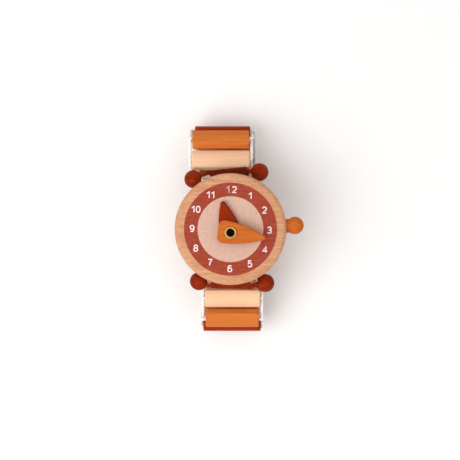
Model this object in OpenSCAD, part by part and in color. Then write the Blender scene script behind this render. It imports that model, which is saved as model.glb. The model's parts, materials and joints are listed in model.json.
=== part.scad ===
/* [Case] */
// Diameter of the round wooden case
case_d = 40; // [32:1:56]
// Thickness of the case
case_h = 10; // [8:0.5:14]
// Rounding of the case's two rims
case_edge_r = 1.5; // [0.5:0.1:3]

/* [Dial] */
// Outer diameter of the printed numeral ring
ring_d = 33.2; // [26:0.2:38]
// Diameter of the printed centre
centre_d = 23.5; // [16:0.5:26]
// Thickness of the print
print_t = 0.12; // [0.05:0.01:0.3]

// Distance of the case's centre from the eyelet, towards twelve o'clock
pivot_drop = 1.2; // [0:0.1:2]

/* [Crown] */
// Diameter of the ball of the crown
crown_d = 6.3; // [4:0.1:9]
// Diameter of its peg
crown_peg_d = 5; // [3:0.1:6]
// Depth of the peg in the rim
crown_depth = 5; // [3:0.5:8]
// Angle of the crown above three o'clock
crown_angle = 3.2; // [0:0.1:30]

/* [Hands] */
// Length of the minute hand from the eyelet to its tip
minute_l = 12.6; // [9:0.1:16]
// Length of the hour hand from the eyelet to its tip
hour_l = 11.5; // [8:0.1:14]
// Length of the minute hand behind the eyelet
minute_tail = 4.5; // [3:0.1:6]
// Length of the hour hand behind the eyelet
hour_tail = 3.4; // [3:0.1:6]
// Width of a hand at its root
hand_w = 8.2; // [6:0.1:10]
// Width of a hand's round tip
hand_tip_w = 1.8; // [1:0.1:4]
// Bulge of a hand's long sides, as a share of its length
hand_bulge_share = 0.06; // [0:0.01:0.1]
// Rounding of the root's corners
hand_corner_r = 2; // [1:0.1:2.5]
// Thickness of a hand
hand_t = 2.2; // [1.5:0.1:3]
// Bevel around a hand's upper edge
hand_bevel = 0.5; // [0.2:0.05:0.8]
// Direction of the minute hand, from three o'clock anticlockwise
minute_angle = -8.9; // [-180:0.1:180]
// Direction of the hour hand, from three o'clock anticlockwise
hour_angle = 104.6; // [-180:0.1:180]

/* [Eyelet] */
// Bore of the brass eyelet
eyelet_bore_d = 2.7; // [2:0.1:3.4]
// Wall of its barrel
eyelet_wall = 0.3; // [0.2:0.05:0.5]
// Diameter of its rolled flange
flange_d = 4.5; // [4:0.1:6]
// Thickness of the eyelet's closed back end
eyelet_floor = 0.6; // [0.3:0.1:2]
// Diameter of the washer behind the case
washer_d = 7; // [6:0.1:9]
// Thickness of that washer
washer_t = 0.5; // [0.3:0.1:0.8]
// Room between washer and its recess
washer_clear = 0.3; // [0.1:0.05:0.6]

/* [Lug bars] */
// Thickness of a lug bar
bar_d = 5; // [4:0.1:6]
// Diameter of the balls at its ends
ball_d = 6.6; // [5:0.1:8]
// How much further apart than a slat's ends the centres of the two balls are
ball_over = 3.6; // [2:0.1:6]
// Distance of a cove inside the centre of its ball
neck_inset = 3.5; // [3:0.1:5]
// Thickness of the bar at the bottom of a cove
neck_d = 3; // [2.4:0.1:3.6]
// Distance of a bar's axis inside the rim
bar_tuck = 0.6; // [0:0.1:2]
// Turn of the twelve o'clock bar about the vertical
bar_yaw = 6; // [0:0.1:8]
// Turn of the six o'clock bar about the vertical
lower_bar_yaw = 1.6; // [0:0.1:8]

/* [Slats] */
// Mean length of a slat across the wrist
slat_l = 20.6; // [16:0.1:28]
// Width of a slat along the band
slat_w = 6.9; // [5.5:0.1:8]
// Thickness of a slat
slat_t = 4.5; // [3.8:0.1:6]
// Radius of its bulged outer face, across the band
slat_crown_r = 6.5; // [5:0.5:20]
// Rounding of its long edges
slat_edge_r = 1.4; // [0.6:0.1:1.8]
// Rounding of its corners, seen from outside
slat_corner_r = 1.1; // [0.5:0.1:2]
// Rounding of its end edges
slat_end_r = 0.8; // [0.3:0.1:1.5]
// Room between two slats, and between a slat and its lug bar
slat_gap = 1; // [0.6:0.05:1.5]

/* [Elastic] */
// Thickness of the elastic cord
cord_d = 1.1; // [0.8:0.05:1.3]
// Bend of the cord where it leaves a hole
bend_r = 0.9; // [0.7:0.05:1.3]
// Straight length of the cord between a hole and its bend
cord_lead = 0.1; // [0.05:0.05:0.4]
// Distance between the two cord holes through the case
cord_hole_spacing = 14.6; // [11:0.2:18]
// Depth of those holes below the dial
cord_hole_depth = 6.5; // [5:0.1:7.5]

/* [Loop] */
// Slope of the band where it leaves a lug bar
lug_slope = 35; // [25:1:45]
// Slope of the first link below its shoulder
shoulder_slope = 8; // [5:1:20]
// Slope of the links at the side of the loop
side_slope = 63; // [55:1:70]

/* [Fits] */
// Running room between a hand's hole and the eyelet
hand_fit = 0.08; // [0.02:0.01:0.15]
// Room between pieces that lie flat on each other
face_gap = 0.1; // [0.05:0.01:0.3]
// Room between glued pieces
glue_gap = 0.03; // [0.01:0.01:0.1]
// Break in the cord where one modelled length ends and the next begins
cord_break = 0.1; // [0.05:0.01:0.2]
// Room around the cord in the wood
cord_clear = 0.15; // [0.05:0.01:0.3]
// Room between a lug bar and the back of the case
bar_clear = 0.3; // [0.2:0.05:0.6]

/* [Hidden] */
$fn = 64;
overrun = 1;
cream = [0.99, 0.82, 0.66];
orange = [0.86, 0.48, 0.24];
rust = [0.60, 0.20, 0.08];
beech = [0.90, 0.67, 0.50];
terracotta = [0.70, 0.32, 0.27];
blush = [0.91, 0.74, 0.67];
brass = [0.80, 0.62, 0.28];
elastic = [0.95, 0.94, 0.90];

case_r = case_d / 2;
slats = 7;
middle = slats + 1;
cord_r = cord_d / 2;
barrel_r = eyelet_bore_d / 2 + eyelet_wall;
roll_r = (flange_d - eyelet_bore_d) / 4;
hour_z = print_t + face_gap;
minute_z = hour_z + hand_t + face_gap;
flange_z = minute_z + hand_t + face_gap;
recess_d = washer_d + 2 * washer_clear;
recess_h = washer_t + 2 * roll_r;

// Lateral place of the slats, from the lug bar to the middle, as shares of the mean length
slat_shift_shares = [
    [-0.172, -0.172, -0.141, -0.105, -0.075, -0.045, -0.02, 0],
    [0.036, 0.031, 0.028, 0.02, 0.012, 0.006, 0.002, 0]
];
// How much longer or shorter each slat is, as shares of the mean length
slat_length_shares = [
    [0.03, 0.015, -0.005, 0.02, -0.01, 0.01, 0, 0],
    [-0.015, -0.05, 0.03, 0, -0.02, 0.01, 0, 0]
];
// Lateral place of the two lug bars
bar_shift_shares = [-0.072, 0.029];
bar_yaws = [bar_yaw, lower_bar_yaw];
bar_y = case_r - bar_tuck;
bar_z = -(case_h + bar_clear + bar_d / 2);
ball_spacing = slat_l + ball_over;
neck_spacing = ball_spacing - 2 * neck_inset;

// Side view of the loop: twelve o'clock half, one link for each step from the lug bar to the middle slat
pitch = slat_w + slat_gap;
lug_link = (bar_d + slat_w) / 2 + slat_gap;
side_h = 2 * pitch * (sin(shoulder_slope) + sin(side_slope));
shoulder_y = bar_y + lug_link * cos(lug_slope);
lean = asin((shoulder_y - (slats - 4) * pitch) / side_h);
function link_slope(k) =
    k == 0 ? lug_slope
    : k == 1 ? shoulder_slope + lean
    : k == 2 ? side_slope + lean
    : k == 3 ? 180 - side_slope + lean
    : k == 4 ? 180 - shoulder_slope + lean
    : 180;
function link_length(k) = k == 0 ? lug_link : pitch;
// Centre of hole k as [y, z]; hole 0 is the lug bar's axis
function hole(k) =
    k == 0 ? [bar_y, bar_z]
    : hole(k - 1) + link_length(k - 1) * [cos(link_slope(k - 1)), -sin(link_slope(k - 1))];
function slope(k) = k == middle ? 180 : (link_slope(k - 1) + link_slope(k)) / 2;
function slat_x(half, k) = slat_l * slat_shift_shares[half][k - 1];
function slat_length(half, k) = slat_l * (1 + slat_length_shares[half][k - 1]);
// End of slat k on a side of the watch, -1 for the left and 1 for the right
function slat_end(half, k, side) = slat_x(half, k) + side * slat_length(half, k) / 2;

// The two strands in a slat lie one over the other; outward is the side away from the wrist
strand_rise = cord_r + cord_clear / 2;
slat_bore_r = strand_rise + cord_r + cord_clear;
case_bore_r = cord_r + cord_clear;
// A cord that enters a slat on this side of the loop lies outward on the left and inward on the right
function entry_rise(half, side) = (half == 0 ? -1 : 1) * side * strand_rise;
function strand(k, rise) = hole(k) + rise * [sin(slope(k)), cos(slope(k))];

// Lug bar's cove, and the cord's turn around it
wrap_r = neck_d / 2 + cord_r + cord_clear / 2;
cove_r = cord_d;
wrap_start = 105;
wrap_end = 230;
wrap_steps = 8;
wrap_break = 30;
function bar_x(half) = slat_l * bar_shift_shares[half];
function neck_x(half, side) = bar_x(half) + side * neck_spacing / 2 * cos(bar_yaws[half]);
function neck_y(half, side) = bar_y + side * neck_spacing / 2 * sin(bar_yaws[half]);
function wrap_point(half, side, angle) =
    [neck_x(half, side), neck_y(half, side) + wrap_r * cos(angle), bar_z + wrap_r * sin(angle)];
function rim_y(x) = sqrt(case_r * case_r - x * x);

function mix(a, b, share) = a + (b - a) * share;
function unit(v) = v / norm(v);
function heading(p, i) = unit(p[min(i + 1, len(p) - 1)] - p[max(i - 1, 0)]);
skew_line = [0.3, 0.5, 0.8];
same_share = 0.1;
function carried(p, i) =
    i == 0 ? unit(cross(heading(p, 0), skew_line))
    : let (n = carried(p, i - 1), t = heading(p, i)) unit(n - (n * t) * t);
tube_sides = 8;

// Tube of the cord's thickness along a list of points, less any that lie on each other
module tube(route) {
    p = [for (i = [0:len(route) - 1])
        if (i == 0 || norm(route[i] - route[max(i - 1, 0)]) > same_share * cord_r) route[i]];
    count = len(p);
    ring = [for (i = [0:count - 1])
        let (t = heading(p, i), n = carried(p, i), b = cross(t, n))
        for (j = [0:tube_sides - 1])
            let (a = 360 * j / tube_sides)
            p[i] + cord_r * (cos(a) * n + sin(a) * b)];
    walls = [for (i = [0:count - 2], j = [0:tube_sides - 1])
        let (a = i * tube_sides + j, b = i * tube_sides + (j + 1) % tube_sides)
        each [[a, a + tube_sides, b], [a + tube_sides, b + tube_sides, b]]];
    start = [for (j = [0:tube_sides - 1]) j];
    finish = [for (j = [0:tube_sides - 1]) count * tube_sides - 1 - j];
    polyhedron(ring, concat(walls, [start], [finish]));
}

// The case and the band are centred above the eyelet; half 1 of the band is half 0 mirrored
module on_case(half = 0) {
    translate([0, pivot_drop, 0])
        mirror([0, half, 0])
            children();
}

// Straight round rod along X between two values of x
module rod_x(x0, x1, r) {
    translate([min(x0, x1), 0, 0])
        rotate([0, 90, 0])
            cylinder(h = abs(x1 - x0), r = r);
}

// Flat outline with round corners, centred
module rounded(size, r) {
    inner = size - 2 * [r, r];
    square([size.x, inner.y], center = true);
    square([inner.x, size.y], center = true);
    for (x = [-1, 1], y = [-1, 1])
        translate([x * inner.x / 2, y * inner.y / 2])
            circle(r);
}

module case() {
    color(beech)
        difference() {
            on_case()
                rotate_extrude()
                    intersection() {
                        translate([0, -case_h / 2])
                            rounded([case_d, case_h], case_edge_r);
                        translate([0, -case_h])
                            square([case_r, case_h]);
                    }
            translate([0, 0, -case_h - overrun])
                cylinder(h = case_h + 2 * overrun, r = barrel_r + glue_gap);
            translate([0, 0, -case_h - overrun])
                cylinder(h = recess_h + overrun, r = recess_d / 2);
            on_case()
                rotate([0, 0, crown_angle])
                    translate([case_r - crown_depth - glue_gap, 0, -case_h / 2])
                        rod_x(0, crown_depth + overrun, crown_peg_d / 2 + glue_gap);
            for (side = [-1, 1])
                translate([side * cord_hole_spacing / 2, case_r + pivot_drop, -cord_hole_depth])
                    rotate([90, 0, 0])
                        cylinder(h = case_d, r = case_bore_r);
        }
}

module dial_ring() {
    color(terracotta)
        on_case()
            difference() {
                cylinder(h = print_t, r = ring_d / 2);
                translate([0, 0, -overrun])
                    cylinder(h = print_t + 2 * overrun, r = centre_d / 2);
            }
}

module dial_centre() {
    color(blush)
        difference() {
            on_case()
                cylinder(h = print_t, r = centre_d / 2);
            translate([0, 0, -overrun])
                cylinder(h = print_t + 2 * overrun, r = barrel_r + glue_gap);
        }
}

module crown() {
    ball_x = case_r + face_gap + crown_d / 2;
    color(orange)
        on_case()
            rotate([0, 0, crown_angle])
                translate([0, 0, -case_h / 2]) {
                    translate([ball_x, 0, 0])
                        sphere(crown_d / 2);
                    rod_x(case_r - crown_depth, ball_x, crown_peg_d / 2);
                }
}

// Rolled end of the eyelet: half of a ring with a round section, on a flat seat
module rolled_end() {
    rotate_extrude()
        intersection() {
            translate([eyelet_bore_d / 2 + roll_r, 0])
                circle(roll_r);
            square([flange_d, roll_r]);
        }
}

module eyelet() {
    seat = case_h - recess_h + washer_t + 2 * glue_gap;
    color(brass) {
        translate([0, 0, flange_z])
            rolled_end();
        translate([0, 0, -seat])
            mirror([0, 0, 1])
                rolled_end();
        difference() {
            translate([0, 0, -seat])
                cylinder(h = seat + flange_z, r = barrel_r);
            translate([0, 0, eyelet_floor - seat])
                cylinder(h = seat + flange_z, r = eyelet_bore_d / 2);
        }
    }
}

module back_washer() {
    color(brass)
        translate([0, 0, recess_h - case_h - washer_t - glue_gap])
            difference() {
                cylinder(h = washer_t, r = washer_d / 2);
                translate([0, 0, -overrun])
                    cylinder(h = washer_t + 2 * overrun, r = barrel_r + glue_gap);
            }
}

// Outline of a hand along +X: a square root with round corners, and bulged sides that run to a round tip
module hand_outline(length, tail) {
    tip_r = hand_tip_w / 2;
    root = hand_w / 2 - hand_corner_r;
    tip_x = length - tip_r;
    bulge = hand_bulge_share * length;
    for (y = [-1, 1])
        translate([hand_corner_r - tail, y * root])
            circle(hand_corner_r);
    translate([tip_x, 0])
        circle(tip_r);
    polygon([
        for (y = [-1, 1])
            for (share = y < 0 ? [0:0.125:1] : [1:-0.125:0])
                [
                    mix(hand_corner_r - tail, tip_x, share),
                    y * (mix(hand_w / 2, tip_r, share) + bulge * 4 * share * (1 - share))
                ]
    ]);
    translate([-tail, -root])
        square([hand_corner_r, 2 * root]);
}

// A hand is the outline pulled up to its bevel, and a smaller outline on top of that
module hand(length, tail) {
    difference() {
        hull() {
            linear_extrude(hand_t - hand_bevel)
                hand_outline(length, tail);
            linear_extrude(hand_t)
                offset(-hand_bevel, $fn = 32)
                    hand_outline(length, tail);
        }
        translate([0, 0, -overrun])
            cylinder(h = hand_t + 2 * overrun, r = barrel_r + hand_fit);
    }
}

module hour_hand() {
    color(rust)
        translate([0, 0, hour_z])
            rotate([0, 0, hour_angle])
                hand(hour_l, hour_tail, $fn = 32);
}

module minute_hand() {
    color(orange)
        translate([0, 0, minute_z])
            rotate([0, 0, minute_angle])
                hand(minute_l, minute_tail, $fn = 32);
}

// Half of a lug bar's profile: the bar along Y, its cove and its ball
module bar_profile() {
    cove_from = neck_spacing / 2 - cove_r;
    square([bar_d / 2, cove_from]);
    square([neck_d / 2, ball_spacing / 2]);
    difference() {
        translate([0, cove_from])
            square([bar_d / 2, cove_r]);
        translate([neck_d / 2 + cove_r, neck_spacing / 2])
            circle(cove_r);
    }
    intersection() {
        translate([0, ball_spacing / 2])
            circle(ball_d / 2);
        translate([0, neck_spacing / 2])
            square([ball_d, ball_d * 2]);
    }
}

// Turned bar with a ball at each end and a cove beside each ball for the cord
module lug_bar(half) {
    color(rust)
        on_case(half)
            translate([bar_x(half), bar_y, bar_z])
                rotate([0, 0, bar_yaws[half]])
                    rotate([0, 90, 0])
                        rotate_extrude()
                            for (end = [0, 1])
                                mirror([0, end])
                                    bar_profile();
}

// One slat in its own frame: X along its length, Z outward, origin on its bore
module slat_block(length) {
    difference() {
        intersection() {
            translate([-length / 2, 0, 0])
                rotate([90, 0, 90])
                    linear_extrude(length)
                        intersection() {
                            rounded([slat_w, slat_t], slat_edge_r);
                            translate([0, slat_t / 2 - slat_crown_r])
                                circle(slat_crown_r, $fn = 128);
                        }
            translate([0, 0, -slat_t / 2])
                linear_extrude(slat_t)
                    rounded([length, slat_w], slat_corner_r);
            translate([0, slat_w / 2, 0])
                rotate([90, 0, 0])
                    linear_extrude(slat_w)
                        rounded([length, slat_t], slat_end_r);
        }
        rod_x(-length / 2 - overrun, length / 2 + overrun, slat_bore_r);
    }
}

slat_colours = [cream, orange, rust, cream, orange, rust, cream, orange];

module slat(half, k) {
    color(slat_colours[k - 1])
        on_case(half)
            translate([slat_x(half, k), hole(k)[0], hole(k)[1]])
                rotate([-slope(k), 0, 0])
                    slat_block(slat_length(half, k));
}

// How far out the cord runs between slats k and k + 1
function crest(half, k, side) =
    side * (bend_r + cord_lead) + side * max(side * slat_end(half, k, side), side * slat_end(half, k + 1, side));

// Steps round a bend of the cord
bend_steps = [0:45:90];

// Cord through slat k, out of its end, around, and into the end of slat k + 1
function slat_route(half, k, side) =
    let (
        leave = strand(k, -entry_rise(half, side)),
        enter = strand(k + 1, entry_rise(half, side)),
        along = unit(enter - leave),
        top = crest(half, k, side)
    )
    concat(
        [
            [slat_end(half, k, -side) + side * cord_break, leave[0], leave[1]],
            [slat_end(half, k, side), leave[0], leave[1]]
        ],
        [for (a = bend_steps) bend_point(top, side, leave, along, a)],
        [for (a = bend_steps) bend_point(top, side, enter, -along, 90 - a)],
        [[slat_end(half, k + 1, side), enter[0], enter[1]]]
    );

// Point on a bend from a hole at place, out to x = top, and along the band
function bend_point(top, side, place, along, a) =
    [
        top - side * bend_r * (1 - sin(a)),
        place[0] + along[0] * bend_r * (1 - cos(a)),
        place[1] + along[1] * bend_r * (1 - cos(a))
    ];

// Both strands through slat k and on to slat k + 1
module cord(half, k) {
    color(elastic)
        on_case(half)
            for (side = [-1, 1])
                tube(slat_route(half, k, side));
}

// The cord's two points between a ball and the first slat, as shares of the slat's width and
// thickness from its bore, and of the way out from the cove to the crest
lug_pass_shares = [[-0.61, -0.42, 0.27], [-0.56, -0.3, 1]];

// From the lug bar's cove, under the bar and between its ball and the first slat, into that slat
module lug_cord(half) {
    color(elastic)
        on_case(half)
            for (side = [-1, 1]) {
                enter = strand(1, entry_rise(half, side));
                x0 = neck_x(half, side);
                out = side * (bend_r + cord_lead) + side * max(side * slat_end(half, 1, side), side * x0);
                pass = [
                    for (share = lug_pass_shares)
                        let (u = share[0] * slat_w, n = share[1] * slat_t)
                        [
                            mix(x0, out, share[2]),
                            hole(1)[0] + u * cos(slope(1)) + n * sin(slope(1)),
                            hole(1)[1] - u * sin(slope(1)) + n * cos(slope(1))
                        ]
                ];
                along = unit(enter - [pass[1].y, pass[1].z]);
                tube(concat(
                    [for (i = [0:wrap_steps]) wrap_point(half, side, mix(wrap_start, wrap_end, i / wrap_steps))],
                    pass,
                    [for (a = bend_steps) bend_point(out, side, enter, -along, 90 - a)],
                    [[slat_end(half, 1, side), enter[0], enter[1]]]
                ));
            }
}

// The cord's way down the wall of the case, as shares of the way across, of its room, and of the way down
wall_shares = [[0.1, 0.6, 0.1], [0.3, 1, 0.4], [0.7, 1, 0.85]];
function wall_points(half, side) =
    let (
        x0 = side * cord_hole_spacing / 2,
        x1 = neck_x(half, side),
        off = cord_r + cord_clear
    )
    concat(
        [[x0, rim_y(x0) - off, -cord_hole_depth]],
        [for (share = wall_shares)
            let (x = mix(x0, x1, share[0]))
            [x, rim_y(x) + off * share[1], mix(-cord_hole_depth, -case_h, share[2])]],
        [wrap_point(half, side, wrap_start - wrap_break)]
    );

module cord_case() {
    color(elastic)
        on_case()
            for (side = [-1, 1]) {
                front = wall_points(0, side);
                back = [for (p = wall_points(1, side)) [p.x, -p.y, p.z]];
                tube(concat(
                    [for (i = [len(front) - 1:-1:0]) front[i]],
                    [mix(front[0], back[0], 0.5)],
                    back
                ));
            }
}

module cord_middle() {
    color(elastic)
        for (rise = [-strand_rise, strand_rise]) {
            place = strand(middle, rise);
            at = [place[0] + pivot_drop, place[1]];
            tube([for (side = [-1, 1]) [slat_end(0, middle, side) - side * cord_break, at[0], at[1]]]);
        }
}

halves = ["12", "6"];

case();
dial_ring();
dial_centre();
crown();
eyelet();
back_washer();
hour_hand();
minute_hand();
slat(0, middle);  // slat_middle
cord_case();
cord_middle();
for (half = [0, 1]) {
    lug_bar(half);
    lug_cord(half);
    for (k = [1:slats]) {
        slat(half, k);
        cord(half, k);
    }
}
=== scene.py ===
import json
import math
import bpy
from mathutils import Matrix, Vector


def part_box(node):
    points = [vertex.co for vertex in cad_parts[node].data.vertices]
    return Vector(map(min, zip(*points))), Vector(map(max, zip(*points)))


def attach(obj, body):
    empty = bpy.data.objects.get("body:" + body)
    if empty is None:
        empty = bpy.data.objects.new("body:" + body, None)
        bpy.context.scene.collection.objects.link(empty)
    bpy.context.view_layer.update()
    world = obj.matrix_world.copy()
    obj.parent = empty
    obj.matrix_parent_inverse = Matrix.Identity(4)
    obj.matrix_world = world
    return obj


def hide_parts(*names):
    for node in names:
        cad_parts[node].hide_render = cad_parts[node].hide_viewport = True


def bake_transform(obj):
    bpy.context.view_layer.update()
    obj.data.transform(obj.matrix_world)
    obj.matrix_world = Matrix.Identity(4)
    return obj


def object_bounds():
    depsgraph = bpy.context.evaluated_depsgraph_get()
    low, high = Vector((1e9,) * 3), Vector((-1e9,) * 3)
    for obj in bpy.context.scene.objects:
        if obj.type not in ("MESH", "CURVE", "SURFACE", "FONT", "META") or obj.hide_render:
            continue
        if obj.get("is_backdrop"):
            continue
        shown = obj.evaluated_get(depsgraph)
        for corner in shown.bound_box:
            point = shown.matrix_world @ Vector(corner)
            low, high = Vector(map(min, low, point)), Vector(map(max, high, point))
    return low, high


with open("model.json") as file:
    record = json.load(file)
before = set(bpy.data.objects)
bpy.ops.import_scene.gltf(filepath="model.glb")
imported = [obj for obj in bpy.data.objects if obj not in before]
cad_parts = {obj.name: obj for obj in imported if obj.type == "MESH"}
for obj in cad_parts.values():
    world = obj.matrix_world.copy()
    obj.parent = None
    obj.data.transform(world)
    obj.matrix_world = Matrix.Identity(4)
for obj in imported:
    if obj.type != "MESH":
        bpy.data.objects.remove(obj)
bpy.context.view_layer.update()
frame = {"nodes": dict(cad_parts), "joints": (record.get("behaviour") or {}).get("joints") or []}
nodes = frame["nodes"]
joints = {joint["name"]: joint for joint in frame["joints"]}
print("frame: loaded")

mm = 0.001
caseLow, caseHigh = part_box("case")
caseY = (caseLow.y + caseHigh.y) / 2
halves = {"12": 1, "6": -1}   # half of the band, and its side along Y
bothSides = (-1, 1)           # ends of a slat or bar, along X
slatCount = 7                 # in each half; number 0 is the lug bar and 8 the middle slat
middle = slatCount + 1
slatWidth, slatThick = 6.9 * mm, 4.5 * mm
barTurns = {"12": 6, "6": 1.6}   # degrees off level, seen from above

# The band from the side: Y away from the case's middle, and Z


def slatNode(half, k):
    return "slat_middle" if k == middle else f"slat_{half}_{k}"


def hole(half, k):
    name = f"lug_{half}" if k == 0 else slatNode(half, k)
    place = joints[f"{name}_turn"]["pos_m"]
    return Vector((0, halves[half] * (place[1] - caseY), place[2]))


# Angle below level from one bore to the next
def direction(half, k):
    step = hole(half, k + 1) - hole(half, k)
    return math.atan2(-step.z, step.y) % (2 * math.pi)


# A slat leans halfway between the directions to its two neighbours
def slope(half, k):
    return math.pi if k == middle else (direction(half, k - 1) + direction(half, k)) / 2


def barMiddle(half):
    low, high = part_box(f"lug_bar_{half}")
    return (low.x + high.x) / 2


# Node graphs


def newMaterial(name, colour, roughness, gloss):
    material = bpy.data.materials.new(name)
    material.use_nodes = True
    tree = material.node_tree
    shader = tree.nodes["Principled BSDF"]
    shader.inputs["Base Color"].default_value = (*colour, 1)
    shader.inputs["Roughness"].default_value = roughness
    shader.inputs["Specular IOR Level"].default_value = gloss
    return material, tree, shader


# Each input is a value, or a link from another node's socket
def addNode(tree, kind, inputs=None, **settings):
    node = tree.nodes.new(kind)
    for key, value in settings.items():
        setattr(node, key, value)
    for key, value in (inputs or {}).items():
        if isinstance(value, bpy.types.NodeSocket):
            tree.links.new(value, node.inputs[key])
        else:
            node.inputs[key].default_value = value
    return node


def computed(tree, operation, *values):
    return addNode(tree, "ShaderNodeMath", dict(enumerate(values)), operation=operation).outputs[0]


def vectorComputed(tree, operation, *vectors):
    node = addNode(tree, "ShaderNodeVectorMath", dict(enumerate(vectors)), operation=operation)
    return node.outputs["Value"]


# From start to end, while the value goes from low to high
def between(tree, value, low, high, start, end, **settings):
    return addNode(tree, "ShaderNodeMapRange", {
        "Value": value, "From Min": low, "From Max": high, "To Min": start, "To Max": end},
        **settings).outputs[0]


# The point's own place on the object, scaled, turned about Z and shifted
def placed(tree, scale, turn=0.0, shift=(0, 0, 0)):
    where = addNode(tree, "ShaderNodeTexCoord")
    mapping = addNode(tree, "ShaderNodeMapping", {
        "Vector": where.outputs["Object"], "Scale": scale, "Rotation": (0, 0, turn), "Location": shift})
    return mapping.outputs["Vector"]


# X, Y and Z of the point, measured from a centre
def coordinates(tree, centre=(0, 0, 0)):
    where = placed(tree, (1, 1, 1), shift=tuple(-c for c in centre))
    return addNode(tree, "ShaderNodeSeparateXYZ", {"Vector": where}).outputs


def noise(tree, cells, detail, rough=0.5, distortion=0.0, turn=0.0, shift=(0, 0, 0)):
    return addNode(tree, "ShaderNodeTexNoise", {
        "Vector": placed(tree, cells, turn, shift), "Scale": 1.0, "Detail": detail, "Roughness": rough,
        "Distortion": distortion}).outputs["Fac"]


# Colours at given places of a value
def ramp(tree, value, places, colours):
    node = addNode(tree, "ShaderNodeValToRGB", {"Fac": value})
    stops = node.color_ramp.elements
    while len(stops) < len(places):
        stops.new(0.5)
    for stop, place, colour in zip(stops, places, colours):
        stop.position = place
        stop.color = (*colour, 1)
    return node.outputs["Color"]


# A share that goes from start to end, while a noise goes from low to high
def mask(tree, value, low, high, start, end):
    return ramp(tree, value, (low, high), ((start,) * 3, (end,) * 3))


# Colours a and b, with b's share; the node has its colour sockets after those for numbers and vectors
def mixed(tree, share, a, b, blend="MIX"):
    node = addNode(tree, "ShaderNodeMix", data_type="RGBA", blend_type=blend)
    for socket, value in ((node.inputs[0], share), (node.inputs[6], a), (node.inputs[7], b)):
        if isinstance(value, bpy.types.NodeSocket):
            tree.links.new(value, socket)
        elif isinstance(value, (int, float)):
            socket.default_value = value
        else:
            socket.default_value = (*value, 1)
    return node.outputs[2]


def shaded(colour, shares):
    return tuple(c * share for c, share in zip(colour, shares))


# Bumps on top of each other, each a height with its depth and strength
def bumped(tree, shader, *layers):
    normal = None
    for height, (depth, strength) in layers:
        bump = addNode(tree, "ShaderNodeBump", {"Height": height, "Distance": depth, "Strength": strength})
        if normal:
            tree.links.new(normal, bump.inputs["Normal"])
        normal = bump.outputs["Normal"]
    tree.links.new(normal, shader.inputs["Normal"])


# Stained wood

stains = {   # deep, body and pale tone
    "cream": ((0.83, 0.48, 0.285), (0.92, 0.585, 0.365), (0.97, 0.66, 0.44)),
    "orange": ((0.53, 0.125, 0.018), (0.655, 0.18, 0.034), (0.74, 0.225, 0.05)),
    "rust": ((0.25, 0.013, 0.0008), (0.34, 0.027, 0.0018), (0.41, 0.042, 0.004)),
    "crownOrange": ((0.44, 0.092, 0.011), (0.56, 0.136, 0.021), (0.65, 0.178, 0.036)),
    "barRust": ((0.22, 0.014, 0.0012), (0.31, 0.027, 0.002), (0.38, 0.04, 0.004)),
    "handRust": ((0.19, 0.0095, 0.0004), (0.275, 0.02, 0.0009), (0.34, 0.031, 0.002)),
}
# In this look and the ones below, Cells is a noise with its cells per metre, and Places are its values
# where the tones lie. Shares and Roughness are a low and a high value of it, and what each turns into.
# Bump is a depth and a strength.
woodLook = {
    "roughness": 0.5, "gloss": 0.06,
    "grainCells": {"cells": (70, 1150, 1150), "detail": 4, "rough": 0.6, "distortion": 0.25},
    "poreCells": {"cells": (420, 5200, 5200), "detail": 2},
    "cloudCells": {"cells": (210, 260, 260), "detail": 2},
    "grainPlaces": (0.2, 0.5, 0.82),
    "cloudShares": (0.35, 0.7, 0, 0.4), "poreShares": (0.3, 0.4, 0.45, 0),
    "cloudRoughness": (0.3, 0.7, 0.42, 0.58),
    "grainBump": (0.05 * mm, 0.4), "poreBump": (0.025 * mm, 0.3),
}


# The grain runs along X, or is turned about Z for a hand, and the shift keeps it apart from the next
# piece's. A bar gives its middle's X and the share of painted shade between its coves, and a slat the
# direction of its wrist side, which gets painted shade.
def stainedWood(name, stain, turn=0.0, shift=0.0, bar=None, inward=None):
    look = woodLook
    deep, body, pale = stains[stain]
    material, tree, shader = newMaterial(name, body, look["roughness"], look["gloss"])
    grain = noise(tree, **look["grainCells"], turn=-turn, shift=(shift, shift * 3, shift * 7))
    pores = noise(tree, **look["poreCells"], turn=-turn)
    cloud = noise(tree, **look["cloudCells"], shift=(shift * 5, 0, shift))
    colour = ramp(tree, grain, look["grainPlaces"], (deep, body, pale))
    colour = mixed(tree, mask(tree, cloud, *look["cloudShares"]), colour, body)
    colour = mixed(tree, mask(tree, pores, *look["poreShares"]), colour, deep)
    if bar:
        colour = soakedBar(tree, colour, deep, *bar)
    if inward:
        colour = darkInside(tree, colour, deep, inward)
    tree.links.new(colour, shader.inputs["Base Color"])
    tree.links.new(mask(tree, cloud, *look["cloudRoughness"]), shader.inputs["Roughness"])
    bumped(tree, shader, (grain, look["grainBump"]), (pores, look["poreBump"]))
    return material


barLook = {
    "patchCells": {"cells": (330, 420, 420), "detail": 4, "rough": 0.65},
    "patchShift": 900,                # per metre of the bar's place, so that the two bars differ
    "patchShares": (0.42, 0.62, 0, 0.55), "patchShade": (0.5, 0.7, 1.2),
    # Painted shade between the coves, for the shade under the case and the first slat
    "coves": (7 * mm, 9.5 * mm),      # from the bar's middle
    "middleShade": (0.4, 0.4, 0.4),
    "middleShadeShare": {"12": 0.8, "6": 0.3},    # share of the middle's shade on each bar
}


# Stain in patches all over a lug bar, and painted shade between its coves, where the bar lies in the shade
# of the case and the first slat
def soakedBar(tree, colour, deep, centre, middleShadeShare):
    look = barLook
    patches = noise(tree, **look["patchCells"], shift=(centre * look["patchShift"], 0, 0))
    patches = mask(tree, patches, *look["patchShares"])
    colour = mixed(tree, patches, colour, shaded(deep, look["patchShade"]))
    away = computed(tree, "ABSOLUTE", coordinates(tree, (centre, 0, 0))["X"])
    dark = between(tree, away, *look["coves"], middleShadeShare, 0)
    return mixed(tree, dark, colour, shaded(deep, look["middleShade"]))


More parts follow.
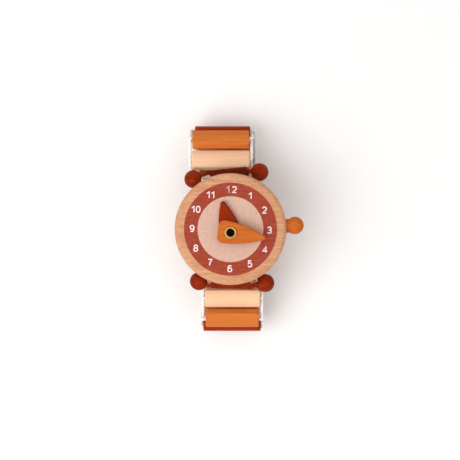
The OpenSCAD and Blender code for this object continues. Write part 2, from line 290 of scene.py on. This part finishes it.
slatLook = {
    "order": ("cream", "orange", "rust", "cream", "orange", "rust", "cream", "orange"),
    "shift": 0.7,              # so that each slat has its own grain
    "facing": (0.1, 0.7),      # where a face counts as the wrist side
    "insideShare": 0.9, "insideShade": (0.42, 0.3, 0.24),
}


# Painted shade on a slat's wrist side, for the shade inside the loop and in the gaps between the slats
def darkInside(tree, colour, deep, inward):
    look = slatLook
    normal = addNode(tree, "ShaderNodeTexCoord").outputs["Normal"]
    facing = vectorComputed(tree, "DOT_PRODUCT", normal, inward)
    dark = between(tree, facing, *look["facing"], 0, look["insideShare"])
    return mixed(tree, dark, colour, shaded(deep, look["insideShade"]))


# Beech

beechLook = {
    "roughness": 0.5, "gloss": 0.12,
    "tones": ((0.51, 0.228, 0.113), (0.605, 0.288, 0.152), (0.725, 0.405, 0.235)),
    "fleck": (0.35, 0.15, 0.066),
    "grainCells": {"cells": (110, 1050, 1050), "detail": 5, "rough": 0.75, "distortion": 0.6},
    "cloudCells": {"cells": (170, 330, 330), "detail": 3},
    "fleckCells": {"cells": (560, 2400, 2400), "detail": 4, "rough": 0.75},
    "grainPlaces": (0.34, 0.5, 0.66),
    "cloudShares": (0.4, 0.7, 0, 0.4), "fleckShares": (0.34, 0.45, 0.75, 0),
    "grainBump": (0.04 * mm, 0.4), "fleckBump": (0.02 * mm, 0.3),
}


def beechWood():
    look = beechLook
    deep, body, pale = look["tones"]
    material, tree, shader = newMaterial("beech", body, look["roughness"], look["gloss"])
    grain = noise(tree, **look["grainCells"])
    cloud = noise(tree, **look["cloudCells"])
    flecks = noise(tree, **look["fleckCells"])
    colour = ramp(tree, grain, look["grainPlaces"], (deep, body, pale))
    colour = mixed(tree, mask(tree, cloud, *look["cloudShares"]), colour, pale)
    colour = mixed(tree, mask(tree, flecks, *look["fleckShares"]), colour, look["fleck"])
    tree.links.new(colour, shader.inputs["Base Color"])
    bumped(tree, shader, (grain, look["grainBump"]), (flecks, look["fleckBump"]))
    return material


# Printed ink

inkLook = {
    "roughness": 0.62, "gloss": 0.12,
    "mottleCells": {"cells": (900, 900, 900), "detail": 4, "rough": 0.6},
    "streakCells": {"cells": (90, 1300, 900), "detail": 3},
    "dotCells": {"cells": (4200, 4200, 4200), "detail": 1},
    "mottlePlaces": (0.3, 0.62), "streakShares": (0.45, 0.8, 0, 0.25),
    "dotEdge": 0.06, "dotShare": 0.55,
    "mottleBump": (0.04 * mm, 0.4), "dotBump": (0.02 * mm, 0.3),
    "inks": {   # ink, its dark tone, its specks, and the noise above which specks show
        "ring_ink": ((0.36, 0.055, 0.028), (0.29, 0.037, 0.018), (0.53, 0.16, 0.095), 0.66),
        "centre_ink": ((0.67, 0.445, 0.35), (0.61, 0.38, 0.29), (0.75, 0.55, 0.46), 0.62),
    },
}


# Matt ink on wood: mottled, with pale specks where it missed the pores
def printedInk(name):
    look = inkLook
    ink, dark, speck, dotsFrom = look["inks"][name]
    material, tree, shader = newMaterial(name, ink, look["roughness"], look["gloss"])
    mottle = noise(tree, **look["mottleCells"])
    streaks = noise(tree, **look["streakCells"])
    dots = noise(tree, **look["dotCells"])
    colour = ramp(tree, mottle, look["mottlePlaces"], (dark, ink))
    colour = mixed(tree, mask(tree, streaks, *look["streakShares"]), colour, speck)
    colour = mixed(tree, mask(tree, dots, dotsFrom, dotsFrom + look["dotEdge"], 0, look["dotShare"]),
                   colour, speck)
    tree.links.new(colour, shader.inputs["Base Color"])
    bumped(tree, shader, (mottle, look["mottleBump"]), (dots, look["dotBump"]))
    return material


paintLook = {
    "white": (0.87, 0.745, 0.775), "ink": (0.50, 0.14, 0.09), "roughness": 0.55, "gloss": 0.2,
    "chipCells": {"cells": (2600, 2600, 2600), "detail": 4, "rough": 0.6},
    "chipEdge": 0.07, "chipBump": (0.02 * mm, 0.3),
    "worn": {"numeral_white": 0.27, "numeral_worn": 0.46},   # noise below which the paint is off
}


# White print, with the ink under it showing where it is worn off
def whitePaint(name):
    look = paintLook
    worn = look["worn"][name]
    material, tree, shader = newMaterial(name, look["white"], look["roughness"], look["gloss"])
    chips = noise(tree, **look["chipCells"])
    colour = ramp(tree, chips, (worn, worn + look["chipEdge"]), (look["ink"], look["white"]))
    tree.links.new(colour, shader.inputs["Base Color"])
    bumped(tree, shader, (chips, look["chipBump"]))
    return material


# Brass

brassLook = {
    "colour": (0.80, 0.55, 0.24), "roughness": 0.45, "gloss": 0.4,
    "tarnishCells": {"cells": (1500, 1500, 1500), "detail": 4},
    "tarnishPlaces": (0.3, 0.65), "tarnish": ((0.34, 0.16, 0.035), (0.52, 0.31, 0.09)),
    "rubCells": {"cells": (700, 5200, 5200), "detail": 2},
    "rubRoughness": (0.2, 0.8, 0.38, 0.55), "rubBump": (0.02 * mm, 0.4),
    # Painted shade: a nearly black colour for the shade deep down the bore
    "bore": (0.022, 0.006, 0.003),
    "boreEdge": (1.37 * mm, 1.5 * mm),      # from the axis
    "boreTop": (-0.37 * mm, -0.17 * mm),    # from the top of the flange
}


# Tarnished brass, with painted shade that makes it nearly black and not metal in the bore below the rolled
# rim
def brassMetal():
    look = brassLook
    material, tree, shader = newMaterial("brass", look["colour"], look["roughness"], look["gloss"])
    tarnish = noise(tree, **look["tarnishCells"])
    rub = noise(tree, **look["rubCells"])
    colour = ramp(tree, tarnish, look["tarnishPlaces"], look["tarnish"])
    where = coordinates(tree)
    across = addNode(tree, "ShaderNodeCombineXYZ", {"X": where["X"], "Y": where["Y"]}).outputs[0]
    inside = between(tree, vectorComputed(tree, "LENGTH", across), *look["boreEdge"], 1, 0)
    low, high = (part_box("eyelet")[1].z + down for down in look["boreTop"])
    below = between(tree, where["Z"], low, high, 1, 0)
    bore = computed(tree, "MULTIPLY", inside, below)
    tree.links.new(mixed(tree, bore, colour, look["bore"]), shader.inputs["Base Color"])
    tree.links.new(computed(tree, "SUBTRACT", 1, bore), shader.inputs["Metallic"])
    tree.links.new(mask(tree, rub, *look["rubRoughness"]), shader.inputs["Roughness"])
    bumped(tree, shader, (rub, look["rubBump"]))
    return material


# The CAD model's own nodes

handLook = {
    "stain": {"hour_hand": "handRust", "minute_hand": "crownOrange"},
    "angle": {"hour_hand": 104.6, "minute_hand": -8.9},   # degrees from X
    "shift": 2.0,
}


def dress(node, material):
    slots = nodes[node].data.materials
    slots.clear()
    slots.append(material)


def dressCase():
    brass = brassMetal()
    dress("case", beechWood())
    dress("dial_ring", printedInk("ring_ink"))
    dress("dial_centre", printedInk("centre_ink"))
    dress("crown", stainedWood("crownOrange_wood", "crownOrange"))
    dress("eyelet", brass)
    dress("back_washer", brass)


def dressHands():
    for node, stain in handLook["stain"].items():
        turn = math.radians(handLook["angle"][node])
        dress(node, stainedWood(f"{node}_wood", stain, turn=turn, shift=handLook["shift"]))


def dressBar(half):
    bar = barMiddle(half), barLook["middleShadeShare"][half]
    dress(f"lug_bar_{half}", stainedWood(f"bar_{half}_wood", "barRust", bar=bar))


def dressSlat(half, k):
    node = slatNode(half, k)
    angle = slope(half, k)
    inward = (0, -halves[half] * math.sin(angle), -math.cos(angle))
    shift = slatLook["shift"] * k + halves[half]
    dress(node, stainedWood(f"{node}_wood", slatLook["order"][k - 1], shift=shift, inward=inward))


def dressNodes():
    dressCase()
    dressHands()
    dressSlat("12", middle)
    for half in halves:
        dressBar(half)
        for k in range(1, middle):
            dressSlat(half, k)


dressNodes()
print("materials: nodes dressed")

# Numerals

numeralSizes = {
    "height": 2.62 * mm, "stroke": 0.44 * mm, "gap": 0.36 * mm,
    "twelveGap": 0.85 * mm, "wornStroke": 0.85,   # the first figure of the 12 is thinner
    "radius": 14.1 * mm, "turn": -1.25,           # degrees
    "lift": 0.02 * mm,                            # off the ring
    "rise": 0.0005 * mm,                          # from point to point, so that no crossing is flush
    "arcStep": 15,                                # degrees
    "closest": 0.02, "joined": 0.03,              # points of a centre line, on its grid
    "mitre": 0.6,                                 # a sharper corner is cut short
    "nudges": {   # millimetres that each numeral is printed off its place
        1: (-0.34, -0.1), 2: (-0.25, 0.02), 3: (-0.18, -0.05), 4: (0.25, 0.05), 5: (0.1, 0), 6: (0.07, 0),
        7: (0, 0.2), 8: (-0.05, 0), 9: (0.4, -0.05), 10: (-0.3, -0.2), 11: (-0.4, -0.1), 12: (0, 0.05)},
}
# Each digit's width, and its centre lines on a grid 1 high: points, or (x, y, width, height, from, to)
# for an arc in degrees
strokes = {
    "0": (0.62, [[(0.31, 0.5, 0.62, 1, 90, 450)]]),
    "1": (0.38, [[(0.0, 0.72), (0.15, 0.79), (0.38, 0.98), (0.38, 0)]]),
    "2": (0.60, [[(0.30, 0.70, 0.60, 0.60, 165, -38), (0.02, 0.02), (0.62, 0.02)]]),
    "3": (0.60, [[(0.29, 0.745, 0.54, 0.51, 160, -80), (0.29, 0.27, 0.60, 0.54, 82, -160)]]),
    "4": (0.66, [[(0.50, 0), (0.50, 1), (0.0, 0.26), (0.70, 0.26)]]),
    "5": (0.60, [[(0.56, 1), (0.12, 1), (0.05, 0.52), (0.30, 0.33, 0.62, 0.66, 128, -155)]]),
    "6": (0.62, [[(0.55, 0.86), (0.34, 0.62, 0.62, 0.76, 70, 180), (0.31, 0.31, 0.62, 0.62, 175, -185)]]),
    "7": (0.60, [[(0.0, 1), (0.60, 1), (0.32, 0.5), (0.22, 0)]]),
    "8": (0.60, [[(0.30, 0.76, 0.50, 0.48, 90, 450)], [(0.30, 0.27, 0.60, 0.54, 90, 450)]]),
    "9": (0.62, [[(0.07, 0.14), (0.28, 0.38, 0.62, 0.76, 250, 360), (0.31, 0.69, 0.62, 0.62, -5, 355)]]),
}


# The points of one centre line, and whether it closes on itself
def centreLine(parts):
    points = []
    for part in parts:
        if len(part) == 2:
            points.append(Vector((*part, 0)))
            continue
        x, y, wide, high, first, last = part
        steps = round(abs(last - first) / numeralSizes["arcStep"])
        for i in range(steps + 1):
            angle = math.radians(first + (last - first) * i / steps)
            points.append(Vector((x + wide / 2 * math.cos(angle), y + high / 2 * math.sin(angle), 0)))
    kept = points[:1]
    for point in points[1:]:
        if (point - kept[-1]).length > numeralSizes["closest"]:
            kept.append(point)
    closed = (kept[0] - kept[-1]).length < numeralSizes["joined"]
    return (kept[:-1] if closed else kept), closed


# A flat ribbon of the stroke's width along a centre line, with mitred corners
def ribbon(points, closed, half, vertices, faces):
    count, start = len(points), len(vertices)
    up = Vector((0, 0, 1))
    for i, point in enumerate(points):
        before = points[i - 1] if i or closed else point
        after = points[(i + 1) % count] if i < count - 1 or closed else point
        arrive, leave = (point - before).normalized(), (after - point).normalized()
        along = (arrive + leave).normalized()
        turn = max(along.dot(leave if leave.length else arrive), numeralSizes["mitre"])
        side = up.cross(along) * half / turn
        rise = up * (numeralSizes["rise"] * len(vertices))
        vertices += [point + side + rise, point - side + rise]
    for i in range(count if closed else count - 1):
        a, b = start + 2 * i, start + 2 * ((i + 1) % count)
        faces.append((a, a + 1, b + 1, b))


# Digits side by side about the origin, and how wide they are between their outer centre lines
def digitMesh(text, name, half):
    vertices, faces, left = [], [], 0.0
    size = numeralSizes["height"] - 2 * half
    for digit in text:
        wide, lines = strokes[digit]
        for parts in lines:
            points, closed = centreLine(parts)
            points = [Vector((left + p.x * size, (p.y - 0.5) * size, 0)) for p in points]
            ribbon(points, closed, half, vertices, faces)
        left += wide * size + 2 * half + numeralSizes["gap"]
    left -= 2 * half + numeralSizes["gap"]
    mesh = bpy.data.meshes.new(name)
    mesh.from_pydata([(v.x - left / 2, v.y, v.z) for v in vertices], [], faces)
    return mesh, left


def placeNumeral(name, mesh, hour, material, across=0.0):
    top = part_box("dial_ring")[1].z
    turn = math.radians(numeralSizes["turn"])
    angle = math.radians(90 - 30 * hour) + turn
    nudge = numeralSizes["nudges"][hour]
    x = numeralSizes["radius"] * math.cos(angle) + nudge[0] * mm
    y = numeralSizes["radius"] * math.sin(angle) + nudge[1] * mm
    mesh.transform(Matrix.Translation((x, caseY + y, top + numeralSizes["lift"]))
                   @ Matrix.Rotation(turn, 4, "Z") @ Matrix.Translation((across, 0, 0)))
    mesh.materials.append(material)
    piece = bpy.data.objects.new(name, mesh)
    bpy.context.collection.objects.link(piece)
    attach(piece, "case")


def makeNumerals():
    paint, worn = whitePaint("numeral_white"), whitePaint("numeral_worn")
    half = numeralSizes["stroke"] / 2
    for hour in range(1, 12):
        placeNumeral(f"numeral_{hour}", digitMesh(str(hour), f"numeral_{hour}", half)[0], hour, paint)
    one, oneWide = digitMesh("1", "numeral_12_one", half * numeralSizes["wornStroke"])
    two, twoWide = digitMesh("2", "numeral_12_two", half)
    wide = oneWide + twoWide + 2 * half + numeralSizes["twelveGap"]
    placeNumeral("numeral_12_one", one, 12, worn, (oneWide - wide) / 2)
    placeNumeral("numeral_12_two", two, 12, paint, (wide - twoWide) / 2)


makeNumerals()
print("numerals: placed")

# Elastic

elasticLook = {
    "roughness": 0.8, "gloss": 0.1, "softness": 0.6, "softReach": 0.5 * mm,
    "lean": 45, "waves": {"Scale": 1.6, "Distortion": 0.4, "Detail": 1.0},
    "weavePlaces": (0.25, 0.6),
    "fibreCells": {"cells": (3000, 3000, 3000), "detail": 2}, "fibreShare": 0.12,
    "weaveBump": (0.06 * mm, 0.5), "fibreBump": (0.03 * mm, 0.3),
    "threads": {   # dark between the threads, and pale on them
        "elastic": ((0.86, 0.85, 0.82), (0.97, 0.965, 0.95)),
        # The case's cord is greyer, painted shade for where it runs down the case's wall and into the coves
        "elastic_painted_shade": ((0.40, 0.31, 0.26), (0.56, 0.46, 0.40)),
    },
}
# Where the case's cord gets painted shade round the lug bars' coves
coveShadeLook = {
    "reach": (3.0 * mm, 4.0 * mm),   # from a lug bar's axis
    "seam": (-2 * mm, 2 * mm),       # where the top left quarter begins
    "topLeftLess": 0.8, "tint": 0.55,
}


# Painted shade in the lug bars' coves: the share of the bars' deep tone painted close to a bar's axis, less
# at the top left, and the share of that quarter, which the tint leaves out
def barStain(tree):
    look = coveShadeLook
    where = coordinates(tree, (0, caseY, 0))
    axis = hole("12", 0)
    out = computed(tree, "SUBTRACT", computed(tree, "ABSOLUTE", where["Y"]), axis.y)
    down = computed(tree, "SUBTRACT", where["Z"], axis.z)
    squares = computed(tree, "MULTIPLY", out, out), computed(tree, "MULTIPLY", down, down)
    away = computed(tree, "SQRT", computed(tree, "ADD", *squares))
    near = between(tree, away, *look["reach"], 1, 0)
    left = between(tree, where["X"], *look["seam"], 1, 0)
    top = between(tree, where["Y"], *look["seam"], 0, 1)
    topLeft = computed(tree, "MULTIPLY", left, top)
    less = computed(tree, "MULTIPLY", topLeft, look["topLeftLess"])
    return computed(tree, "MULTIPLY", near, computed(tree, "SUBTRACT", 1, less)), topLeft


# Two crossed sets of threads, from the tube's own lengths round and along
def elasticBraid(name, coveShaded=False):
    look = elasticLook
    dark, pale = look["threads"][name]
    material, tree, shader = newMaterial(name, pale, look["roughness"], look["gloss"])
    shader.inputs["Subsurface Weight"].default_value = look["softness"]
    shader.inputs["Subsurface Radius"].default_value = (look["softReach"],) * 3
    shader.inputs["Subsurface Scale"].default_value = 1.0
    around = addNode(tree, "ShaderNodeUVMap", uv_map="round").outputs["UV"]
    waves = []
    for lean in (look["lean"], -look["lean"]):
        turn = (0, 0, math.radians(lean))
        turned = addNode(tree, "ShaderNodeMapping", {"Vector": around, "Rotation": turn}).outputs["Vector"]
        waves.append(addNode(tree, "ShaderNodeTexWave", {"Vector": turned, **look["waves"]},
                             wave_type="BANDS", bands_direction="X").outputs["Fac"])
    weave = computed(tree, "MAXIMUM", *waves)
    fibre = noise(tree, **look["fibreCells"])
    colour = ramp(tree, weave, look["weavePlaces"], (dark, pale))
    colour = mixed(tree, look["fibreShare"], colour, fibre, blend="MULTIPLY")
    # Painted shade round the coves: outside the top left quarter the cord takes a share of the bars' pale
    # tone, and close to a bar's axis their deep tone
    if coveShaded:
        deep, _, light = stains["barRust"]
        coveShare, topLeft = barStain(tree)
        colour = mixed(tree, topLeft, mixed(tree, coveShadeLook["tint"], colour, light), colour)
        colour = mixed(tree, coveShare, colour, deep)
    tree.links.new(colour, shader.inputs["Base Color"])
    bumped(tree, shader, (weave, look["weaveBump"]), (fibre, look["fibreBump"]))
    return material


elasticSizes = {
    "radius": 0.55 * mm, "sides": 16,
    "rise": 0.625 * mm,                                # a strand off the middle of its bore
    "bend": 0.62 * mm, "lead": 0.03 * mm,              # how far a bend stands out past a slat's end
    "corner": 0.35,                                    # share of the bend
    "neckOffset": 8.6 * mm,                            # a cove off the bar's middle
    "wrap": 2.125 * mm,                                # the cord's middle off the bar's axis
    "wallTurn": (91, 97), "leaveTurn": (225, 230),     # degrees round the axis
    "coveTurn": (97, 221, 8),                          # and between them, from, to and step
    "lugPasses": ((-0.61, -0.42), (-0.56, -0.3)),      # shares of the first slat's width and thickness
    "lugOuts": (0.27, 1),                              # shares of the way out from the cove to the bend
    "holeOffset": 7.3 * mm, "holeDepth": 6.5 * mm,     # bores through the case
    "wallClear": 0.7 * mm,                             # off the case's wall
    # Shares of the way across to the cove, of the room off the wall, and of the way down
    "wallRoute": ((0, -2, 0), (0, -1, 0), (0.1, 0.6, 0.1), (0.3, 1, 0.4), (0.7, 1, 0.85)),
}


def slatEnd(half, k, side):
    low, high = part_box(slatNode(half, k))
    return high.x if side > 0 else low.x


# A strand in a bore, nearer the slat's outer face by rise
def strand(half, k, rise):
    angle = slope(half, k)
    return hole(half, k) + rise * Vector((0, math.sin(angle), math.cos(angle)))


# The two strands swap places in a bore, so one enters outside its middle and the other inside
def entryRise(half, side):
    return -halves[half] * side * elasticSizes["rise"]


# The same place, moved along X
def alongX(place, x):
    return Vector((x, place.y, place.z))


# Corners cut at the quarter points, with both ends kept
def softened(points, rounds=3):
    for _ in range(rounds):
        cut = [points[0]]
        for a, b in zip(points, points[1:]):
            cut += [a.lerp(b, 0.25), a.lerp(b, 0.75)]
        points = cut + [points[-1]]
    return points


# Through a slat, and round its end into the next slat's
def spanPath(half, k, side):
    sizes = elasticSizes
    leave, enter = strand(half, k, -entryRise(half, side)), strand(half, k + 1, entryRise(half, side))
    along = (enter - leave).normalized()
    ends = slatEnd(half, k, side), slatEnd(half, k + 1, side)
    crest = side * (max(side * ends[0], side * ends[1]) + sizes["bend"] + sizes["lead"])
    inner = crest - side * sizes["bend"]
    corner = sizes["bend"] * sizes["corner"]
    bend = softened([
        alongX(leave, ends[0]), alongX(leave, inner), alongX(leave, crest - side * corner),
        alongX(leave + along * corner, crest), alongX(leave + along * 2 * sizes["bend"], crest),
        alongX(enter - along * 2 * sizes["bend"], crest), alongX(enter - along * corner, crest),
        alongX(enter, crest - side * corner), alongX(enter, inner), alongX(enter, ends[1])])
    far = slatEnd(half, k, -side)
    return [alongX(leave, far), alongX(leave, (far + ends[0]) / 2)] + bend


# The middle of a lug bar's cove
def neck(half, side):
    turn = math.radians(barTurns[half])
    offset = side * elasticSizes["neckOffset"]
    centre = hole(half, 0)
    return Vector((barMiddle(half) + offset * math.cos(turn), centre.y + offset * math.sin(turn), centre.z))


def wrapPoint(half, side, degrees):
    angle = math.radians(degrees)
    return neck(half, side) + elasticSizes["wrap"] * Vector((0, math.cos(angle), math.sin(angle)))


# A point beside the first slat's bore, by shares of the slat's width and thickness
def besideSlat(half, wide, thick):
    tilt = slope(half, 1)
    u, n = wide * slatWidth, thick * slatThick
    across = Vector((0, math.cos(tilt), -math.sin(tilt)))
    outward = Vector((0, math.sin(tilt), math.cos(tilt)))
    return hole(half, 1) + u * across + n * outward


# Half a turn in the cove, out between the ball and the first slat, then into that slat's end
def lugPath(half, side):
    sizes = elasticSizes
    enter = strand(half, 1, entryRise(half, side))
    end = slatEnd(half, 1, side)
    neckX = neck(half, side).x
    crest = side * (max(side * end, side * neckX) + sizes["bend"] + sizes["lead"])
    passing = [alongX(besideSlat(half, *place), neckX + (crest - neckX) * out)
               for place, out in zip(sizes["lugPasses"], sizes["lugOuts"])]
    along = (enter - alongX(passing[1], 0)).normalized()
    corner = sizes["bend"] * sizes["corner"]
    turn = [wrapPoint(half, side, angle) for angle in range(*sizes["coveTurn"])]
    leave = [wrapPoint(half, side, angle) for angle in sizes["leaveTurn"]]
    return turn + softened([
        *leave, *passing, alongX(enter - along * corner, crest), alongX(enter, crest - side * corner),
        alongX(enter, crest - side * sizes["bend"]), alongX(enter, end)])


# Out of the case, down its wall and over the back rim to the lug bar's cove
def wallPath(half, side):
    sizes = elasticSizes
    x0, x1 = side * sizes["holeOffset"], neck(half, side).x
    depth = -sizes["holeDepth"]

    def onWall(across, room, down):
        x = x0 + (x1 - x0) * across
        wall = math.sqrt(caseHigh.x ** 2 - x ** 2)
        return Vector((x, wall + sizes["wallClear"] * room, depth + (caseLow.z - depth) * down))

    points = [onWall(*place) for place in sizes["wallRoute"]]
    points += [wrapPoint(half, side, angle) for angle in sizes["wallTurn"]]
    return [Vector((x0, 0, depth))] + softened(points, rounds=2)


# Round tubes along paths, with lengths in millimetres round and along kept as a map
def tubeMesh(name, paths, radius, sides):
    vertices, faces, lengths = [], [], []
    closest = radius / 50
    for path in paths:
        path = [p for i, p in enumerate(path) if i == 0 or (p - path[i - 1]).length > closest]
        start, last = len(vertices), len(path) - 1
        tangents = [(path[min(i + 1, last)] - path[max(i - 1, 0)]).normalized() for i in range(last + 1)]
        normal = tangents[0].orthogonal().normalized()
        travelled = 0.0
        for i, (point, tangent) in enumerate(zip(path, tangents)):
            normal = (normal - tangent * normal.dot(tangent)).normalized()
            other = tangent.cross(normal)
            travelled += (point - path[i - 1]).length if i else 0
            for j in range(sides):
                angle = 2 * math.pi * j / sides
                vertices.append(point + radius * (math.cos(angle) * normal + math.sin(angle) * other))
                lengths.append(travelled)
        for i in range(last):
            for j in range(sides):
                a, b = start + i * sides + j, start + i * sides + (j + 1) % sides
                faces.append((a, b, b + sides, a + sides))
        faces.append(tuple(start + j for j in reversed(range(sides))))
        faces.append(tuple(start + last * sides + j for j in range(sides)))
    mesh = bpy.data.meshes.new(name)
    mesh.from_pydata([tuple(v) for v in vertices], [], faces)
    mapLengths(mesh, lengths, 2 * math.pi * radius, sides)
    mesh.polygons.foreach_set("use_smooth", [len(face.vertices) == 4 for face in mesh.polygons])
    return mesh


# The last side of a ring closes on its first, so there the map runs on to the whole girth
def mapLengths(mesh, lengths, girth, sides):
    uvMap = mesh.uv_layers.new(name="round")
    for face in mesh.polygons:
        columns = [mesh.loops[loop].vertex_index % sides for loop in face.loop_indices]
        wraps = max(columns) - min(columns) > sides / 2
        for loop, column in zip(face.loop_indices, columns):
            vertex = mesh.loops[loop].vertex_index
            share = (column + (sides if wraps and column == 0 else 0)) / sides
            uvMap.data[loop].uv = (share * girth / mm, lengths[vertex] / mm)


# One piece of the cord: it rides one body, or else stays where it is
def cordPiece(part, half, paths, material, body=None, pair=None, start=None, end=None):
    sizes = elasticSizes

    # From the band's side view to the whole object
    def inFrame(point):
        return Vector((point.x, caseY + halves[half] * point.y, point.z))

    name = f"elastic_{part}"
    mesh = tubeMesh(name, [[inFrame(p) for p in path] for path in paths], sizes["radius"], sizes["sides"])
    mesh.materials.append(material)
    piece = bpy.data.objects.new(name, mesh)
    bpy.context.collection.objects.link(piece)
    if body:
        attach(piece, body)
    else:
        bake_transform(piece)
    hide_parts(f"cord_{part}")


def makeCaseCord(material):
    paths = []
    for side in bothSides:
        front, back = wallPath("12", side), wallPath("6", side)
        paths.append(front[::-1] + [Vector((p.x, -p.y, p.z)) for p in back[1:]])
    cordPiece("case", "12", paths, material, body="case")


def makeLugCord(half, material):
    paths = [lugPath(half, side) for side in bothSides]
    start = besideSlat(half, *elasticSizes["lugPasses"][1])
    cordPiece(f"{half}_0", half, paths, material, pair=("case", slatNode(half, 1)), start=start,
              end=hole(half, 1))


# The loop of joints is open between the last slat of the six o'clock half and the middle one
def makeSpanCord(half, k, material):
    paths = [spanPath(half, k, side) for side in bothSides]
    if half == "6" and k == slatCount:
        held = {"body": slatNode(half, k)}
    else:
        pair = slatNode(half, k), slatNode(half, k + 1)
        held = {"pair": pair, "start": hole(half, k), "end": hole(half, k + 1)}
    cordPiece(f"{half}_{k}", half, paths, material, **held)


def makeMiddleCord(material):
    along = slatEnd("12", middle, -1), 0, slatEnd("12", middle, 1)
    strands = [strand("12", middle, side * elasticSizes["rise"]) for side in bothSides]
    paths = [[alongX(place, x) for x in along] for place in strands]
    cordPiece("middle", "12", paths, material, body="slat_middle")


def makeElastic():
    braid = elasticBraid("elastic")
    makeCaseCord(elasticBraid("elastic_painted_shade", coveShaded=True))
    for half in halves:
        makeLugCord(half, braid)
        for k in range(1, middle):
            makeSpanCord(half, k, braid)
    makeMiddleCord(braid)


makeElastic()
print("elastic: strung")

# Studio

studio = {
    "target": (-0.00017, 0.00091, 0), "fieldWidth": 0.1642,   # what the camera looks at, and how wide
    "cameraDistance": 0.62, "sensorWidth": 36,
    "cameraTilt": 0.5,                                        # degrees towards twelve o'clock
    "skyStrength": 0.54, "skyColour": (1, 0.975, 0.96, 1),
    "floorSize": 3.0, "floorColour": (0.95, 0.95, 0.95), "floorRoughness": 0.9,
    "floorFade": (0.13, 0.3),   # from the middle, where the floor starts and ends turning white
    "lights": {   # name: place, size, power, colour
        "key": ((-0.37, -0.20, 0.60), 0.60, 2.75, (1, 0.98, 0.955)),
        "top": ((-0.10, -0.10, 1.0), 1.4, 4.7, (1, 0.99, 0.98)),
    },
}
white = (1, 1, 1, 1)


# 1 for rays from the camera, off gloss or through glass; 0 for those that light the object
def seenShare(tree):
    rays = addNode(tree, "ShaderNodeLightPath").outputs
    share = rays["Is Camera Ray"]
    for kind in ("Is Glossy Ray", "Is Transmission Ray"):
        share = computed(tree, "MAXIMUM", share, rays[kind])
    return share


# The floor keeps the shadow near the watch and fades to white further out
def floorMaterial():
    material, tree, shader = newMaterial("floor_white", studio["floorColour"], studio["floorRoughness"], 0)
    where = addNode(tree, "ShaderNodeTexCoord").outputs["Object"]
    away = vectorComputed(tree, "LENGTH", where)
    faded = between(tree, away, *studio["floorFade"], 0, 1, interpolation_type="SMOOTHSTEP")
    share = computed(tree, "MULTIPLY", faded, seenShare(tree))
    glow = addNode(tree, "ShaderNodeEmission", {"Color": white, "Strength": 1.0})
    both = addNode(tree, "ShaderNodeMixShader", {0: share, 1: shader.outputs[0], 2: glow.outputs[0]})
    tree.links.new(both.outputs[0], tree.nodes["Material Output"].inputs["Surface"])
    return material


# The floor goes up and down with the middle slat, because the watch stands on its band
def makeFloor(scene):
    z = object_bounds()[0].z
    half = studio["floorSize"] / 2
    corners = [(-half, -half, z), (half, -half, z), (half, half, z), (-half, half, z)]
    mesh = bpy.data.meshes.new("floor")
    mesh.from_pydata(corners, [], [(0, 1, 2, 3)])
    mesh.materials.append(floorMaterial())
    floor = bpy.data.objects.new("floor", mesh)
    scene.collection.objects.link(floor)
    floor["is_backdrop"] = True
    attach(floor, "slat_middle")


def makeSky(scene):
    world = bpy.data.worlds.new("studio")
    world.use_nodes = True
    tree = world.node_tree
    sky = tree.nodes["Background"]
    sky.inputs["Color"].default_value = studio["skyColour"]
    sky.inputs["Strength"].default_value = studio["skyStrength"]
    seen = addNode(tree, "ShaderNodeBackground", {"Color": white, "Strength": 1.0})
    both = addNode(tree, "ShaderNodeMixShader", {0: seenShare(tree), 1: sky.outputs[0], 2: seen.outputs[0]})
    tree.links.new(both.outputs[0], tree.nodes["World Output"].inputs["Surface"])
    scene.world = world


def makeLights(scene):
    for name, (place, size, power, colour) in studio["lights"].items():
        light = bpy.data.lights.new(name, "AREA")
        light.size = size
        light.energy = power
        light.color = colour
        lamp = bpy.data.objects.new(name, light)
        lamp.location = place
        lamp.rotation_euler = (-Vector(place)).to_track_quat("-Z", "Y").to_euler()
        scene.collection.objects.link(lamp)


def makeCamera(scene):
    lens = bpy.data.cameras.new("camera")
    lens.sensor_width = studio["sensorWidth"]
    lens.lens = studio["sensorWidth"] * studio["cameraDistance"] / studio["fieldWidth"]
    camera = bpy.data.objects.new("camera", lens)
    tilt = math.radians(studio["cameraTilt"])
    toCamera = Vector((0, math.sin(tilt), math.cos(tilt)))
    camera.location = Vector(studio["target"]) + studio["cameraDistance"] * toCamera
    camera.rotation_euler = (-tilt, 0, 0)
    scene.collection.objects.link(camera)
    scene.camera = camera


def makeStudio():
    scene = bpy.context.scene
    scene.view_settings.view_transform = "Standard"
    makeFloor(scene)
    makeSky(scene)
    makeLights(scene)
    makeCamera(scene)


makeStudio()
print("studio: set")
